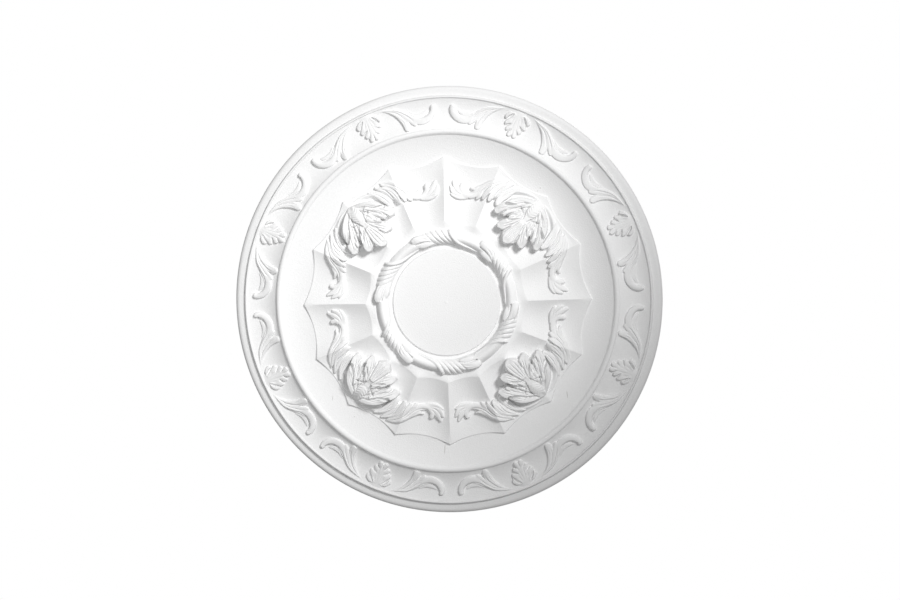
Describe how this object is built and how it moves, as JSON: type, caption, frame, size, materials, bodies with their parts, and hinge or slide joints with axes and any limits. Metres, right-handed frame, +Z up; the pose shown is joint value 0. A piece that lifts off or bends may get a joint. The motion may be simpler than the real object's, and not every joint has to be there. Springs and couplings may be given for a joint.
{
  "type": "ceiling rose",
  "caption": "Round cast plaster ceiling rose: moulded rim, leaf and scroll frieze, ribbed star, four leaf sprays and a leaf wreath round a plain centre.",
  "frame": {"origin": "centre of the flat back, which lies on the ceiling", "axes": "+Z up into the ceiling, the relief faces down along -Z; +X and +Y run along two of the star's ribs, in the gaps between the leaf sprays"},
  "size_m": [0.6, 0.6, 0.0446],
  "materials": {
    "plaster": "matt white cast plaster, unpainted"
  },
  "bodies": {
    "root": {"ceiling_rose": "plaster"}
  },
  "joints": []
}
